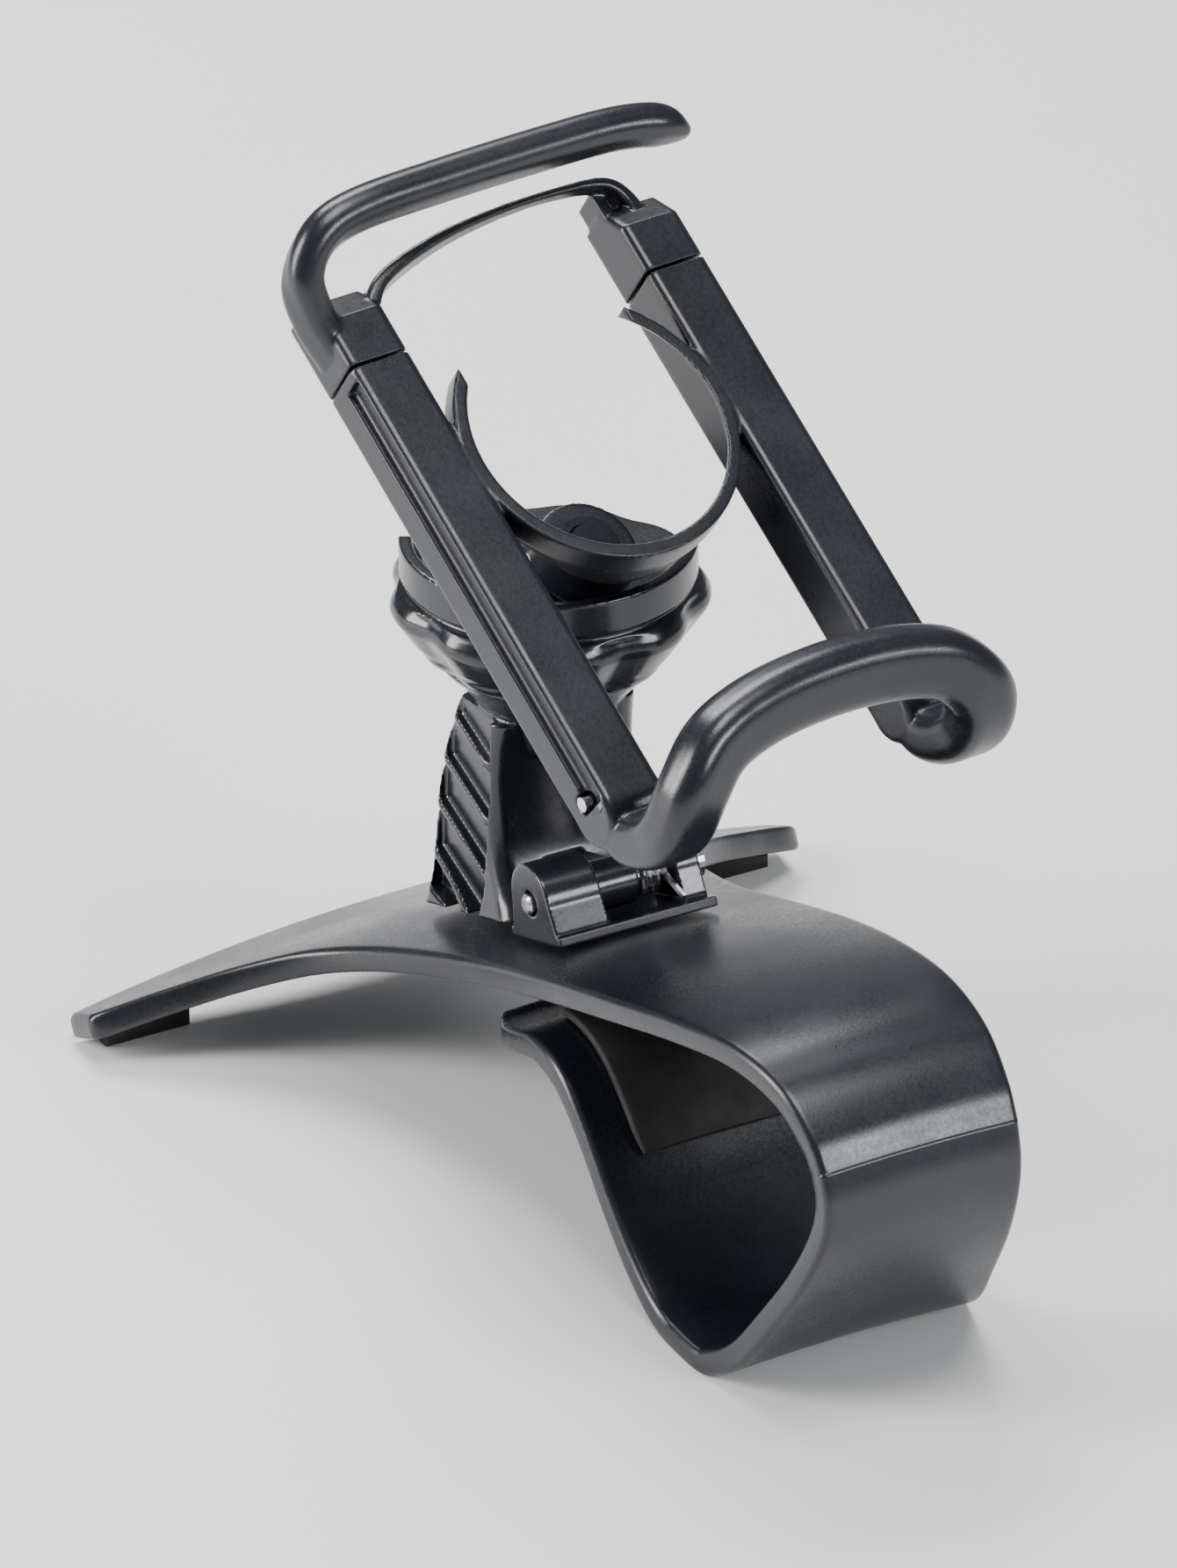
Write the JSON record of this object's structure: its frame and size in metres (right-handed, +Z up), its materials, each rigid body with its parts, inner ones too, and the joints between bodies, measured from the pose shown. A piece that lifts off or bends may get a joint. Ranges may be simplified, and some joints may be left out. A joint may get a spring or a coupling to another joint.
{
  "type": "hair dryer holder",
  "caption": "Clip-on hair dryer holder: sprung clip with T plate, hinged mast, ball joint with collar, and a clamp frame with a hooked lip and sprung upper bracket.",
  "frame": {"origin": "centre of the whole footprint, on the table the holder stands on", "axes": "+X from the wings towards the clip's bend, +Y across the clip, +Z up"},
  "size_m": [0.123, 0.099, 0.1194],
  "materials": {
    "black_plastic": "satin moulded, blue-black",
    "black_rubber": "matt",
    "bright_steel": "bright"
  },
  "bodies": {
    "base": {"clip_top_plate": "black_plastic", "wing_pad_left": "black_rubber", "wing_pad_right": "black_rubber", "hinge_housing": "black_plastic", "hinge_pin": "bright_steel", "torsion_spring": "bright_steel"},
    "jaw": {"clip_jaw": "black_plastic", "jaw_pad": "black_rubber"},
    "mast": {"stem": "black_plastic"},
    "nut": {"lock_nut": "black_plastic"},
    "seat": {"ball_seat": "black_rubber"},
    "ball": {"ball_stud": "black_plastic", "stud_clip": "black_plastic"},
    "clamp": {"clamp_frame": "black_plastic", "left_rail_back": "black_plastic", "right_rail_back": "black_plastic", "left_spring_pin": "bright_steel", "right_spring_pin": "bright_steel", "left_spring": "bright_steel", "right_spring": "bright_steel"},
    "bracket": {"top_bracket": "black_plastic", "left_slide_tongue": "black_plastic", "right_slide_tongue": "black_plastic"}
  },
  "joints": [
    {"name": "jaw_flex", "type": "hinge", "parent": "base", "child": "jaw", "pos_m": [0.0603, 0, 0.037], "axis": [0, -1, 0], "range_deg": [0, 14], "stiffness_Nm_per_rad": 0.8, "springref_deg": -8.59},
    {"name": "mast_tilt", "type": "hinge", "parent": "base", "child": "mast", "pos_m": [-0.01231, 0, 0.0346], "axis": [0, 1, 0], "range_deg": [0, 15], "stiffness_Nm_per_rad": 0.25, "springref_deg": -17.19},
    {"name": "nut_turn", "type": "hinge", "parent": "mast", "child": "nut", "pos_m": [-0.0299, 0, 0.0628], "axis": [0, 0, 1], "range_deg": [-15, 45]},
    {"name": "ball_pan", "type": "hinge", "parent": "mast", "child": "seat", "pos_m": [-0.0299, 0, 0.0628], "axis": [0, 0, 1], "continuous": true},
    {"name": "ball_tilt", "type": "hinge", "parent": "seat", "child": "ball", "pos_m": [-0.0299, 0, 0.0628], "axis": [-0.1236, 0.9923, 0], "range_deg": [-45, 1]},
    {"name": "frame_spin", "type": "hinge", "parent": "ball", "child": "clamp", "pos_m": [-0.0299, 0, 0.0628], "axis": [0.5563, 0.0693, 0.8281], "range_deg": [-90, 90]},
    {"name": "bracket_slide", "type": "slide", "parent": "clamp", "child": "bracket", "axis": [-0.8217, -0.1023, 0.5606], "range_m": [0, 0.03], "stiffness_N_per_m": 80, "springref_m": -0.01, "deforming": ["left_spring", "right_spring"]}
  ]
}
